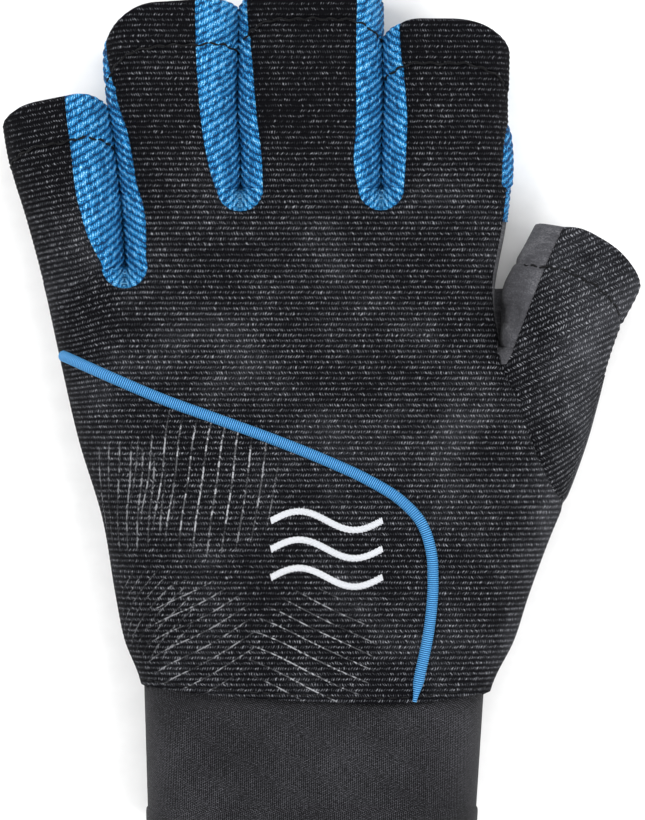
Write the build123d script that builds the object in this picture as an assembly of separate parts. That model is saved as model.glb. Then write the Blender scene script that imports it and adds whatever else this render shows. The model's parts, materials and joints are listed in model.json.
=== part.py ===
from build123d import *
import math
import os

# Half-finger sailing glove for the left hand, lying palm down.
# +X points to the thumb side, +Y to the fingertips and +Z out of the back of the hand.
# The floor is z = 0. The box of the glove is centred on x = 0, y = 0. All sizes in mm.

os.makedirs("parts", exist_ok=True)

# ---- driving dimensions -------------------------------------------------------------
GLOVE_LENGTH = 184.4
WALL = 1.4
CUFF_WALL = 1.6
PATCH_THICKNESS = 1.0
PALM_LOW = PATCH_THICKNESS
SIDE_SEAM_Z = 9.0
STALL_LOW = 1.5
STALL_HIGH = 18.5
THUMB_LOW = 1.5
THUMB_HIGH = 20.5
EDGE_RADIUS = 9.0
SECTION_ROUNDNESS = 0.46
KNUCKLE_Y = 44.0
WRIST_Y = -61.5
CUFF_END_Y = -GLOVE_LENGTH / 2
HEM_DEPTH = 6.0
HEM_RAISE = 0.5

PIPING_WIDTH = 2.3
PIPING_RAISE = 0.9
STITCH_WIDTH = 0.6
STITCH_RAISE = 0.25
STROKE_WIDTH = 1.3
STROKE_RAISE = 0.35
FINGER_HEM = 9.7

HINGE_OFFSET = 9.0
HINGE_Z = 10.0
HINGE_GAP = 0.35
NOTCH_SPARE = 2.0
FINGER_FLEX = 75.0
FINGER_LIFT = 15.0
THUMB_FLEX = 55.0
THUMB_LIFT = 10.0
SIDE_WALL_WRAP = 5.0
SIDE_WALL_LOW = 3.5

# Lengths that only have to reach past the glove in a cut.
FAR = 60.0
SPAN = 300.0
BELOW = -5.0
ABOVE = 40.0
BEYOND = 90.0
OVERCUT = 2.0

# Each station of the hand runs from its little-finger side to its thumb side:
# y, x low, x high, z high.
HAND_STATIONS = [
    (WRIST_Y, -38.3, 35.4, 25.0),
    (-50.0, -42.6, 41.2, 25.6),
    (-36.0, -45.0, 46.2, 26.0),
    (-21.0, -48.8, 50.6, 26.0),
    (-5.0, -53.2, 44.0, 25.4),
    (9.0, -56.4, 38.0, 23.6),
    (25.0, -59.6, 37.2, 20.8),
]
KNUCKLE_STATIONS = [
    (21.0, -41.6, 36.2, 20.6),
    (32.0, -42.2, 38.0, 19.6),
    (KNUCKLE_Y, -43.0, 40.2, STALL_HIGH),
]

# Each stall: root centre, lean from +Y towards -X in degrees, half widths at the root
# and at the open end on the little-finger side (left) and the thumb side (right), and
# length from the root to the open end.
STALLS = {
    "pinky": dict(root=(-51.5, 26.2), lean=11.3, left=(8.4, 10.1), right=(9.4, 11.7), length=39.0),
    "ring": dict(root=(-30.4, KNUCKLE_Y), lean=3.5, left=(12.6, 14.5), right=(12.1, 14.2), length=42.6),
    "middle": dict(root=(-2.3, KNUCKLE_Y), lean=0.0, left=(14.6, 14.7), right=(14.7, 14.8), length=48.2),
    "index": dict(root=(26.8, KNUCKLE_Y), lean=0.0, left=(13.4, 13.4), right=(13.4, 13.5), length=39.0),
    "thumb": dict(root=(49.6, 5.5), lean=-16.0, left=(12.0, 13.2), right=(10.8, 13.1), length=29.0),
}
WALLED_SIDES = {
    "pinky": ["right"],
    "ring": ["left", "right"],
    "middle": ["left", "right"],
    "index": ["left", "right"],
    "thumb": [],
}
SIDE_NAMES = {"left": "outer_wall", "right": "inner_wall"}
THUMB_END_SKEW = 2.9
ROOT_DEPTH = 6.0
ROOT_INSET = 0.6

# The base of the thumb inside the hand: s, t low, t high, height above the stall.
THUMB_BASE = [(-34.0, -4.0, 8.6, 0.0), (-10.0, -10.0, 11.0, 2.0)]

# The cuff: y, x low, x high. It lies between the hem's lower face and its own top.
CUFF_STATIONS = [(WRIST_Y, -37.8, 34.6), (CUFF_END_Y, -37.1, 32.8)]
CUFF_TOP = 25.5

# Seam between the back of the hand and the thumb piece, from the crotch to the wrist side.
THUMB_SEAM = [(38.0, 30.0), (38.0, 9.0), (41.5, 2.2), (46.4, -12.0), (52.6, -22.5)]

# Centre line of the cord piping across the back, from the little-finger side to the wrist.
PIPING_LINE = [
    (-62.0, 13.6),
    (-33.8, 0.9),
    (-10.1, -7.7),
    (14.0, -18.5),
    (23.4, -35.0),
    (19.9, WRIST_Y + 2.0),
]

# Three stitched waves on the back: x from, x to, y of the first, y step and height.
WAVES = dict(x=(-11.0, 13.0), y=-25.0, step=-6.0, height=2.0, count=3)

# Patches under the palm and the strip of the index finger's side, in plan.
GRIP_PATCH = [(-40.0, -24.0), (30.0, -24.0), (26.0, 20.0), (-46.0, 18.0)]
HEEL_PATCH = [(-31.0, -56.0), (26.0, -56.0), (32.0, -28.0), (-34.0, -28.0)]
PATCH_CORNER = 8.0
INDEX_SIDE = [(38.4, 40.0), (45.0, 40.0), (45.0, 60.0), (36.2, 60.0)]

# Blue tongues between the stalls: bottom centre, bottom radius, then the two top corners.
TONGUES = {
    "fourchette_pinky_ring": [(-43.0, 28.4), 4.4, (-54.0, 50.0), (-39.6, 56.0)],
    "fourchette_ring_middle": [(-18.6, 44.4), 3.9, (-25.0, 60.0), (-13.0, 60.0)],
    "fourchette_middle_index": [(12.6, 44.4), 3.7, (6.8, 60.0), (18.0, 60.0)],
}


# ---- helpers ------------------------------------------------------------------------
def station(left, right, z_low, z_high, inset=0.0, shift=0.0):
    """An upright rounded section between two plan points, shrunk by inset."""
    start = Vector(left[0], left[1], 0)
    end = Vector(right[0], right[1], 0)
    across = (end - start).normalized()
    along = Vector(-across.Y, across.X, 0)
    centre = (start + end) * 0.5 + along * shift + Vector(0, 0, (z_low + z_high) / 2)
    width = (end - start).length - 2 * inset
    height = z_high - z_low - 2 * inset
    radius = min(EDGE_RADIUS - inset, SECTION_ROUNDNESS * min(width, height))
    return Plane(origin=centre, x_dir=across, z_dir=along) * RectangleRounded(width, height, radius)


def prism(points, z_low=BELOW, z_high=ABOVE):
    """A closed plan outline, stood up between two heights."""
    outline = make_face(Polyline(*points, close=True))
    return Pos(0, 0, z_low) * extrude(outline, amount=z_high - z_low)


def slab(z_low, z_high):
    """Everything between two heights."""
    return Pos(0, 0, (z_low + z_high) / 2) * Box(SPAN, SPAN, z_high - z_low)


def band(points, width, z_low=BELOW, z_high=ABOVE):
    """A strip of constant width along a smooth plan line, stood up."""
    strip = trace(Spline(*points), line_width=width)
    return Pos(0, 0, z_low) * extrude(strip, amount=z_high - z_low)


def solids(shape):
    """The solids of a boolean result, largest first."""
    return sorted(shape.solids(), key=lambda solid: -solid.volume)


def save(name, shape, smallest=0.5):
    """Write one node, without crumbs left by the cuts."""
    kept = [solid for solid in solids(shape) if solid.volume > smallest]
    export_step(Compound(children=kept) if len(kept) > 1 else kept[0], f"parts/{name}.step")


# ---- hand ---------------------------------------------------------------------------
def hand_loft(inset, wrist_shift=0.0, end_shift=0.0):
    """Body of the hand from the wrist to the little finger's root."""
    sections = []
    for index, (y, x_low, x_high, z_high) in enumerate(HAND_STATIONS):
        shift = 0.0
        if index == 0:
            shift = wrist_shift
        if index == len(HAND_STATIONS) - 1:
            shift = end_shift
        sections.append(station((x_low, y), (x_high, y), PALM_LOW, z_high, inset, shift))
    return loft(sections, ruled=True)


def knuckle_loft(inset, end_shift=0.0):
    """Block under the ring, middle and index knuckles."""
    sections = []
    for index, (y, x_low, x_high, z_high) in enumerate(KNUCKLE_STATIONS):
        shift = end_shift if index == len(KNUCKLE_STATIONS) - 1 else 0.0
        sections.append(station((x_low, y), (x_high, y), PALM_LOW, z_high, inset, shift))
    return loft(sections, ruled=True)


# ---- stalls -------------------------------------------------------------------------
class Stall:
    """A finger or thumb tube, with its own frame: s along it, t across it."""

    def __init__(self, name):
        data = STALLS[name]
        self.name = name
        self.is_thumb = name == "thumb"
        angle = math.radians(data["lean"])
        self.along = (-math.sin(angle), math.cos(angle))
        self.across = (math.cos(angle), math.sin(angle))
        self.root = data["root"]
        self.left = data["left"]
        self.right = data["right"]
        self.length = data["length"]
        self.skew = THUMB_END_SKEW if self.is_thumb else 0.0
        self.z_low = THUMB_LOW if self.is_thumb else STALL_LOW
        self.z_high = THUMB_HIGH if self.is_thumb else STALL_HIGH
        self.flex = THUMB_FLEX if self.is_thumb else FINGER_FLEX
        self.lift = THUMB_LIFT if self.is_thumb else FINGER_LIFT

    def point(self, s, t):
        x = self.root[0] + s * self.along[0] + t * self.across[0]
        y = self.root[1] + s * self.along[1] + t * self.across[1]
        return (x, y)

    def width(self, side, s):
        root, end = side
        return root + (end - root) * max(0.0, min(1.0, s / self.length))

    def section(self, s, inset=0.0, shift=0.0, skew=0.0):
        left = self.point(s + skew, -self.width(self.left, s))
        right = self.point(s - skew, self.width(self.right, s))
        return station(left, right, self.z_low, self.z_high, inset, shift)

    def tube(self, inset=0.0, over=0.0):
        """The whole stall from inside the hand to its open end."""
        sections = [self.section(-ROOT_DEPTH, inset + ROOT_INSET)]
        if self.is_thumb:
            sections = []
            for s, t_low, t_high, rise in THUMB_BASE:
                left, right = self.point(s, t_low), self.point(s, t_high)
                sections.append(station(left, right, PALM_LOW, self.z_high + rise, inset))
        sections.append(self.section(0.0, inset))
        sections.append(self.section(self.length, inset, over, self.skew))
        return loft(sections, ruled=True)

    def side_prism(self, direction):
        """Everything on the moving (+1) or the fixed (-1) side of the hinge notch."""
        palm_half = math.radians(self.flex / 2 + NOTCH_SPARE)
        back_half = math.radians(self.lift / 2 + NOTCH_SPARE)
        corner = [
            (direction * HINGE_GAP, 0),
            (direction * (HINGE_GAP + FAR * math.tan(back_half)), FAR),
            (direction * 3 * FAR, FAR),
            (direction * 3 * FAR, -FAR),
            (direction * (HINGE_GAP + FAR * math.tan(palm_half)), -FAR),
        ]
        x, y = self.point(HINGE_OFFSET, 0)
        plane = Plane(origin=(x, y, HINGE_Z), x_dir=(*self.along, 0), z_dir=(*self.across, 0))
        return extrude(plane * make_face(Polyline(*corner, close=True)), amount=FAR, both=True)

    def strip(self, side):
        """Plan strip along one side of the stall, where its side wall is sewn in."""
        sign = -1 if side == "left" else 1
        half = self.left if side == "left" else self.right
        points = []
        past_end = self.length + OVERCUT
        for s in (-ROOT_DEPTH, 0.0, past_end):
            points.append(self.point(s, sign * (self.width(half, s) - SIDE_WALL_WRAP)))
        for s in (past_end, -ROOT_DEPTH):
            points.append(self.point(s, sign * (self.width(half, s) + OVERCUT)))
        return prism(points, SIDE_WALL_LOW)

    def hem_line(self):
        """Raised stitch rows round the back and palm faces, one hem's depth from the end."""
        s = self.length - FINGER_HEM
        left = EDGE_RADIUS / 2 - self.width(self.left, s)
        right = self.width(self.right, s) - EDGE_RADIUS / 2
        skin = self.tube(-STITCH_RAISE) - self.tube()
        rows = prism([
            self.point(s + self.skew, left),
            self.point(s - self.skew, right),
            self.point(s - self.skew + STITCH_WIDTH, right),
            self.point(s + self.skew + STITCH_WIDTH, left),
        ])
        return skin & rows


def make_stall(stall):
    """Write the moving pieces of one stall."""
    shell = (stall.tube() - stall.tube(WALL, over=OVERCUT)) & stall.side_prism(1)
    cloth = shell
    for side in WALLED_SIDES[stall.name]:
        strip = stall.strip(side)
        save(f"{stall.name}_{SIDE_NAMES[side]}", shell & strip)
        cloth = cloth - strip
    save(f"{stall.name}_back", cloth & slab(SIDE_SEAM_Z, ABOVE))
    save(f"{stall.name}_palm", cloth & slab(BELOW, SIDE_SEAM_Z))
    save(f"{stall.name}_hem_stitching", stall.hem_line(), smallest=0.1)


def tongue(bottom, radius, top_left, top_right):
    """Plan outline of one fourchette: a strip with a rounded lower end."""
    x, y = bottom
    sides = make_face(Polyline((x - radius, y), (x + radius, y), top_right, top_left, close=True))
    outline = sides + Pos(x, y) * Circle(radius)
    return Pos(0, 0, SIDE_WALL_LOW) * extrude(outline, amount=ABOVE)


def wave(row):
    """One wave of the emblem as five points, a quarter turn apart."""
    x_start, x_end = WAVES["x"]
    y_mid = WAVES["y"] + WAVES["step"] * row
    points = []
    for quarter in range(5):
        x = x_start + (x_end - x_start) * quarter / 4
        points.append((x, y_mid + WAVES["height"] * math.sin(math.pi * quarter / 2)))
    return points


def make_hand(stalls):
    """Write every piece of the hand, its trims and its patches."""
    outer = hand_loft(0.0) + knuckle_loft(0.0)
    inner = hand_loft(WALL, wrist_shift=-OVERCUT, end_shift=-WALL) + knuckle_loft(WALL, end_shift=-WALL)
    for stall in stalls:
        outer = outer + (stall.tube() & stall.side_prism(-1))
        inner = inner + stall.tube(WALL, over=OVERCUT)
    shell = outer - inner
    top = slab(SIDE_SEAM_Z, ABOVE)
    base = slab(BELOW, SIDE_SEAM_Z)

    for name, (bottom, radius, top_left, top_right) in TONGUES.items():
        shape = tongue(bottom, radius, top_left, top_right)
        save(name, shell & shape)
        shell = shell - shape

    side_strip = prism(INDEX_SIDE, SIDE_WALL_LOW)
    save("index_side_gusset", shell & side_strip)
    shell = shell - side_strip

    thumb_region = prism(THUMB_SEAM + [(BEYOND, THUMB_SEAM[-1][1]), (BEYOND, THUMB_SEAM[0][1])])
    save("thumb_gusset_back", shell & thumb_region & top)
    save("thumb_gusset_palm", shell & thumb_region & base)
    shell = shell - thumb_region

    start, end = PIPING_LINE[0], PIPING_LINE[-1]
    corners = [(end[0], -BEYOND), (-BEYOND, -BEYOND), (-BEYOND, start[1])]
    outline = Curve() + [Spline(*PIPING_LINE), Polyline(end, *corners, start)]
    below = extrude(make_face(outline), amount=ABOVE)
    back = shell & top
    save("lower_back_panel", back & below)
    save("back_panel", back - below)
    save("palm_panel", shell & base)

    cord_skin = hand_loft(-PIPING_RAISE) - hand_loft(0.0)
    save("back_piping", cord_skin & band(PIPING_LINE, PIPING_WIDTH, z_low=SIDE_SEAM_Z))
    thread_skin = hand_loft(-STROKE_RAISE) - hand_loft(0.0)
    waves = [band(wave(row), STROKE_WIDTH, z_low=SIDE_SEAM_Z) for row in range(WAVES["count"])]
    waves = waves[0] + waves[1:]
    save("emblem_embroidery", thread_skin & waves, smallest=0.1)


def patch(points):
    """A flat reinforcement under the palm."""
    outline = make_face(FilletPolyline(*points, radius=PATCH_CORNER, close=True))
    return extrude(outline, amount=PATCH_THICKNESS)


def cuff_loft(inset, over=0.0):
    """The cuff narrows a little towards its open end."""
    sections = []
    for (y, x_low, x_high), shift in zip(CUFF_STATIONS, (over, -over)):
        sections.append(station((x_low, y), (x_high, y), HEM_RAISE, CUFF_TOP, inset, shift))
    return loft(sections, ruled=True)


def make_cuff():
    """Write the cuff, its folded hem and the seam that joins it to the hand."""
    save("cuff", cuff_loft(0.0) - cuff_loft(CUFF_WALL, over=OVERCUT))
    hem_skin = cuff_loft(-HEM_RAISE) - cuff_loft(0.0)
    hem_zone = Pos(0, CUFF_END_Y + HEM_DEPTH / 2, 0) * Box(SPAN, HEM_DEPTH, SPAN)
    save("cuff_hem", hem_skin & hem_zone)
    seam_skin = hand_loft(-STITCH_RAISE) - hand_loft(0.0)
    seam_zone = Pos(0, WRIST_Y + 2 * STITCH_WIDTH, 0) * Box(SPAN, STITCH_WIDTH, SPAN)
    save("wrist_seam_stitching", seam_skin & seam_zone, smallest=0.1)


all_stalls = [Stall(name) for name in STALLS]
for each_stall in all_stalls:
    make_stall(each_stall)
make_hand(all_stalls)
save("palm_grip_patch", patch(GRIP_PATCH))
save("heel_patch", patch(HEEL_PATCH))
make_cuff()
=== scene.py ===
import json
import math

import bpy
import numpy as np
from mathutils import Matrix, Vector
from mathutils.geometry import delaunay_2d_cdt


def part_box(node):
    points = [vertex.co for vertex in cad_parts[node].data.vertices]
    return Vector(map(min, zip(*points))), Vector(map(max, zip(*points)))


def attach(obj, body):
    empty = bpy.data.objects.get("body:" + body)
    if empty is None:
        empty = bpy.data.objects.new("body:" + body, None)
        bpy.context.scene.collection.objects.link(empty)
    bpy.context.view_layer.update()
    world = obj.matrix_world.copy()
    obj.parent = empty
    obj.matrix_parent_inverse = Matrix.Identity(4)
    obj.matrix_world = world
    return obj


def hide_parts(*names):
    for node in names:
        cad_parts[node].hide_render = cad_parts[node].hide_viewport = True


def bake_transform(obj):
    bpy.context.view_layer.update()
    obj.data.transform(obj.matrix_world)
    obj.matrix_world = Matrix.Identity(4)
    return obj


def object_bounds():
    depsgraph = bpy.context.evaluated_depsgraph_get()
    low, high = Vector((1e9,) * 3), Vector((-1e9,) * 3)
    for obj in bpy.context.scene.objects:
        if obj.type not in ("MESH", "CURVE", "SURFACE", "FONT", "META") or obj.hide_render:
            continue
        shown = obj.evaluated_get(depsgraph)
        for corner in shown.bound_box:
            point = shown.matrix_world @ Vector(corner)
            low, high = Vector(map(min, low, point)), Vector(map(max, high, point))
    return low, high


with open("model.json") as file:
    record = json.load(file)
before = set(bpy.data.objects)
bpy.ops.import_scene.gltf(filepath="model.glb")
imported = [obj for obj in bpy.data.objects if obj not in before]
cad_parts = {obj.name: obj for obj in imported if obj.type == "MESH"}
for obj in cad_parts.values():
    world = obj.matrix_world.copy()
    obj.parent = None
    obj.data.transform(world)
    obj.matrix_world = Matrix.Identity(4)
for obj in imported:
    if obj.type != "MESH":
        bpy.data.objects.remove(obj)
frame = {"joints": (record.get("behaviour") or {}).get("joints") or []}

# A left-hand half-finger sailing glove, palm down. Lengths are in millimetres in the
# part's own frame until make_object() turns them into metres.

CAD_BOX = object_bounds()
MM = 0.001


# ---- cloth and seam sizes -------------------------------------------------------------
CLOTH = 1.2
HEM_CLOTH = 2.1
HEM_DEPTH = 9.7
SLIT_GAP = 0.3
SLIT_ROUND = 9.3
SIDE_ROUND = 12.0
SEAM_DIP = 0.38
SEAM_WIDTH = 0.75
PIPING_SEAM_WIDTH = 1.1
THUMB_SEAM_WIDTH = 0.9
KNIT_PITCH = 1.15
KNIT_RELIEF = 0.13
CORD_PITCH = 1.45
CORD_RELIEF = 0.34
CORD_TURN = math.radians(28)
THUMB_KNIT_TURN = math.radians(24)
ROW = 0.3
SUEDE_ROW = 0.5
PIPING_RADIUS = 1.16
PIPING_RIB = 0.45
THREAD_SIDES = 6
SHARP_ANGLE = 75
HINGE_OFFSET = 9.0
BEYOND_END = 1.5
BLEND_LENGTH = 15.5
THUMB_BLEND_LENGTH = 11.5
PALM_TONGUE = 3.6
PALM_SHORTER = 2.0
PALM_MARK = 4.6


# ---- small numeric tools --------------------------------------------------------------
def smoothstep(value):
    value = np.clip(value, 0.0, 1.0)
    return value * value * (3 - 2 * value)


def profile(distance, radius):
    """Height share of a rounded edge: 0 at the edge, 1 from radius inwards."""
    share = np.clip((distance - 0.02) / radius, 0.0, 1.0)
    return np.sqrt(1 - (1 - share) ** 2)


def arc_of(distance, radius):
    """Length over a round edge, from the edge to a plan distance."""
    inner = np.clip(distance, 0, radius)
    turn = np.arccos(1 - inner / radius)
    return radius * turn + np.maximum(distance - radius, 0)


def lengths(line):
    """Length along a line at each of its points."""
    return np.r_[0, np.cumsum(np.linalg.norm(np.diff(line, axis=0), axis=1))]


def points_at(line, at):
    """The points of a line at some lengths."""
    length = lengths(line)
    return np.stack([np.interp(at, length, line[:, k]) for k in range(line.shape[1])], 1)


def unit(vectors):
    return vectors / np.linalg.norm(vectors, axis=1)[:, None]


def spline(points, step=0.6):
    """A smooth line through a few points, resampled at an even step."""
    p = np.array(points, float)
    chord = lengths(p)
    slope = np.gradient(p, chord, axis=0)
    fine = []
    for i in range(len(p) - 1):
        h = chord[i + 1] - chord[i]
        u = np.linspace(0, 1, max(8, int(h * 4)), endpoint=False)[:, None]
        fine.append(
            (2 * u**3 - 3 * u**2 + 1) * p[i] + (u**3 - 2 * u**2 + u) * h * slope[i]
            + (3 * u**2 - 2 * u**3) * p[i + 1] + (u**3 - u**2) * h * slope[i + 1]
        )
    fine = np.vstack(fine + [p[-1:]])
    return resample(fine, step)


def resample(line, step):
    length = lengths(line)[-1]
    count = max(2, int(round(length / step)) + 1)
    return points_at(line, np.linspace(0, length, count))


def curve_of(points):
    """A smooth function through (x, value) pairs."""
    line = spline(sorted(points), 0.25)
    return lambda x: np.interp(x, line[:, 0], line[:, 1])


def distance(points, line):
    """Shortest distance from each point to a sampled line."""
    a, b = line[:-1], line[1:]
    d = b - a
    size = np.maximum((d * d).sum(1), 1e-12)
    out = np.empty(len(points))
    for i in range(0, len(points), 4000):
        p = points[i:i + 4000, None, :] - a[None]
        t = np.clip((p * d[None]).sum(2) / size, 0, 1)
        gap = p - t[..., None] * d[None]
        out[i:i + 4000] = np.sqrt((gap * gap).sum(2).min(1))
    return out


def inside(points, polygon):
    """Which points lie in a closed plan polygon."""
    x, y = points[:, 0], points[:, 1]
    hit = np.zeros(len(points), bool)
    ax, ay = polygon[:, 0], polygon[:, 1]
    bx, by = np.roll(ax, -1), np.roll(ay, -1)
    for i in range(len(polygon)):
        if ay[i] == by[i]:
            continue
        crosses = (ay[i] > y) != (by[i] > y)
        hit ^= crosses & (x < (bx[i] - ax[i]) * (y - ay[i]) / (by[i] - ay[i]) + ax[i])
    return hit


def between(line, low, high):
    """The stretch of a line whose y lies between two values."""
    return line[(line[:, 1] >= low) & (line[:, 1] <= high)]


# ---- the plan of the glove ------------------------------------------------------------
class Stall:
    """A finger or thumb, with s along it and t across it, read from its hinge."""

    def __init__(self, name):
        joint = next(j for j in frame["joints"] if j["child"] == name)
        self.name = name
        self.across = -np.array(joint["axis"][:2])
        self.along = np.array([-self.across[1], self.across[0]])
        self.hinge = np.array(joint["pos_m"][:2]) / MM
        self.root = self.hinge - HINGE_OFFSET * self.along

    def plan(self, s, t):
        s, t = np.broadcast_arrays(np.asarray(s, float), np.asarray(t, float))
        return self.root + s[..., None] * self.along + t[..., None] * self.across

    def local(self, points):
        rel = np.asarray(points, float) - self.root
        return rel @ self.along, rel @ self.across


STALLS = {name: Stall(name) for name in ("pinky", "ring", "middle", "index", "thumb")}
THUMB = STALLS["thumb"]

LITTLE_EDGE = spline([
    (-38.3, -66), (-39.1, -60), (-42.6, -50.7), (-44.4, -42), (-47.3, -25), (-52.5, -7.7),
    (-56.5, 9.5), (-59.9, 24.9), (-64.1, 40.4), (-67.3, 51), (-68.9, 60), (-69.6, 72)])
THUMB_EDGE = spline([
    (34.6, -68), (36.9, -60), (41.5, -50.7), (44.3, -42.1), (49, -29.2), (54.4, -16.3),
    (57.4, -7.7), (59.8, 1), (62, 9.5), (64.9, 17.5), (68.2, 24), (70.4, 31), (72.2, 40)])
THUMB_CROTCH = (38.5, 12.6)
INDEX_EDGE = spline([
    THUMB_CROTCH, (37.4, 18), (37.3, 25), (38.3, 31), (39.4, 36.5), (40.3, 43), (40.9, 51),
    (40.4, 62), (40.6, 74), (40.6, 88)])
THUMB_INNER = spline([
    THUMB_CROTCH, (38.3, 18), (38.5, 22.5), (39.4, 26), (40.8, 28.8), (42.3, 31.4), (43.8, 34),
    (45.2, 36.7), (46.2, 38.6), (48.4, 43)])
LITTLE_SLIT = spline([
    (-42.4, 29.8), (-43, 38), (-43.8, 48), (-45, 57), (-46.4, 65.4), (-47.0, 74), (-46.6, 90)])
RING_SLIT = spline([(-17.6, 46.4), (-17.7, 55), (-18.3, 64), (-18.1, 74), (-17.8, 96)])
MIDDLE_SLIT = spline([(12.7, 46.6), (12.8, 56), (13.2, 66), (13.1, 76), (12.9, 98)])

EDGE_ROUND = curve_of([(-70, 13), (-20, 15), (20, 11.5), (45, 9.3), (100, 9.3)])
MID_Z = curve_of([(-70, 13), (-45, 12.6), (-20, 12.1), (5, 11.5), (25, 10.6), (42, 10), (110, 10)])
TOP_Z = curve_of([
    (-70, 25.0), (-45, 25.9), (-20, 26.0), (5, 24.8), (25, 21.8), (42, 19.3), (60, 18.6),
    (110, 18.4)])
LOW_Z = curve_of([(-70, 1.2), (-50, 1.1), (25, 1.1), (42, 1.4), (60, 1.5), (110, 1.5)])
THUMB_MID, THUMB_TOP, THUMB_LOW = 11.0, 20.4, 1.5

FOLD_HEIGHT = 2.0

# Soft folds of the cloth: start, end, half width and height.
FOLDS = [
    ((36, 8), (22, -8), 2.2, 0.45),
    ((35, 3), (27, -20), 1.8, 0.4),
    ((33, 12), (12, 6), 2.6, 0.3),
    ((-6, 52), (-4, 86), 2.6, -0.5),
    ((2, 50), (3, 80), 2.4, 0.35),
    ((-34, 50), (-37, 78), 2.4, 0.3),
    ((27, 52), (28, 76), 3.0, -0.3),
    ((-30, 36), (-12, 33), 2.4, 0.25),
    ((-8, 34), (20, 36), 2.4, 0.25),
    ((52, 6), (60, 22), 2.0, 0.4),
    ((47, -4), (56, 4), 2.0, -0.4),
    ((44, -30), (36, -46), 2.4, 0.4),
    ((-42, -34), (-30, -46), 2.4, 0.35),
]


def folds(x, y):
    points = np.stack([x.ravel(), y.ravel()], 1)
    total = 0.22 * np.sin(points[:, 0] / 9 + 1.3) * np.sin(points[:, 1] / 13 + 0.7)
    total += 0.14 * np.sin(points[:, 0] / 5.1 + points[:, 1] / 7.7)
    for start, end, width, height in FOLDS:
        d = distance(points, np.array([start, end], float))
        total += height * np.exp(-(d / width) ** 2)
    return FOLD_HEIGHT * total.reshape(x.shape)


def thumb_drop(x, y):
    """The thumb side lies lower than the back of the hand."""
    return 1 - 0.2 * smoothstep((x - 34) / 24) * smoothstep((y + 44) / 36)


def hand_factors(points):
    """Share of the full thickness at plan points of the hand."""
    y = points[:, 1]
    share = profile(distance(points, LITTLE_EDGE), EDGE_ROUND(y))
    share *= profile(distance(points, THUMB_EDGE), EDGE_ROUND(y))
    for slit in (LITTLE_SLIT, RING_SLIT, MIDDLE_SLIT):
        share *= profile(distance(points, slit) - SLIT_GAP, SLIT_ROUND)
    side = np.minimum(distance(points, INDEX_EDGE), distance(points, THUMB_INNER))
    return share * profile(side, SLIT_ROUND)


def hand_top(points):
    x, y = points[:, 0], points[:, 1]
    share = hand_factors(points)
    return MID_Z(y) + ((TOP_Z(y) - MID_Z(y)) * thumb_drop(x, y) + folds(x, y)) * share


def hand_low(points):
    y = points[:, 1]
    return MID_Z(y) - (MID_Z(y) - LOW_Z(y)) * hand_factors(points)


def knit_row(x, y):
    """Rib coordinate of the black knit: level, but square to the little finger on its side."""
    tilt = smoothstep((-40 - x) / 14) * smoothstep((y + 10) / 32)
    return y - 0.2 * (x + 40) * tilt


# ---- meshes ---------------------------------------------------------------------------
def make_object(name, verts, faces, material, uv=None, thickness=None, relief=None):
    """A mesh object. With a thickness, the surface gets an inner skin and closed rims."""
    verts = np.array(verts, float)
    faces = [tuple(int(i) for i in f) for f in faces]
    if thickness is not None or relief is not None:
        base = bpy.data.meshes.new(name + "_base")
        base.from_pydata(verts.tolist(), [], faces)
        base.update()
        normals = np.zeros(len(verts) * 3)
        base.vertices.foreach_get("normal", normals)
        normals = normals.reshape(-1, 3)
        bpy.data.meshes.remove(base)
    if relief is not None:
        outer = verts + normals * np.asarray(relief)[:, None]
    else:
        outer = verts
    if thickness is not None:
        inner = verts - normals * np.broadcast_to(thickness, len(verts))[:, None]
        count = len(verts)
        seen = {}
        for f in faces:
            for a, b in zip(f, f[1:] + f[:1]):
                seen[(a, b)] = True
        rims = []
        for a, b in seen:
            if (b, a) not in seen:
                rims.append((b, a, a + count, b + count))
        faces = faces + [tuple(i + count for i in reversed(f)) for f in faces] + rims
        outer = np.vstack([outer, inner])
        if uv is not None:
            uv = np.vstack([uv, uv])
    mesh = bpy.data.meshes.new(name)
    mesh.from_pydata((outer * MM).tolist(), [], faces)
    mesh.polygons.foreach_set("use_smooth", [True] * len(mesh.polygons))
    if uv is not None:
        layer = mesh.uv_layers.new(name="Cloth")
        loops = np.zeros(len(mesh.loops), int)
        mesh.loops.foreach_get("vertex_index", loops)
        layer.data.foreach_set("uv", np.asarray(uv, float)[loops].ravel())
    mesh.update()
    mesh.validate()
    mesh.set_sharp_from_angle(angle=math.radians(SHARP_ANGLE))
    mesh.materials.append(material)
    obj = bpy.data.objects.new(name, mesh)
    bpy.context.scene.collection.objects.link(obj)
    return obj


def grid_faces(rows, columns, closed=False):
    """Quads of a grid of points, row by row; closed joins the last column to the first."""
    faces = []
    last = columns if closed else columns - 1
    for i in range(rows - 1):
        for j in range(last):
            k = (j + 1) % columns
            a = i * columns
            faces.append((a + j, a + k, a + columns + k, a + columns + j))
    return faces


def place(obj, body, nodes=(), stall=None):
    """Attaches a piece to a body, or for a stall bakes its transform in place, and hides the nodes
    it stands for.
    """
    if stall is None:
        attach(obj, body)
    else:
        start = stall.plan(stall.start, 0.0) * MM
        end = stall.plan(stall.blend_end, 0.0) * MM
        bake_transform(obj)
    if nodes:
        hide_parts(*nodes)


# ---- materials ------------------------------------------------------------------------
class Value:
    """A number that nodes work out, for use in plain arithmetic."""

    def __init__(self, nodes, socket):
        self.nodes = nodes
        self.socket = socket

    def __add__(self, other):
        return self.nodes.math("ADD", self, other)

    def __sub__(self, other):
        return self.nodes.math("SUBTRACT", self, other)

    def __mul__(self, other):
        return self.nodes.math("MULTIPLY", self, other)

    def __truediv__(self, other):
        return self.nodes.math("DIVIDE", self, other)

    def __pow__(self, other):
        return self.nodes.math("POWER", self, other)


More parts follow.
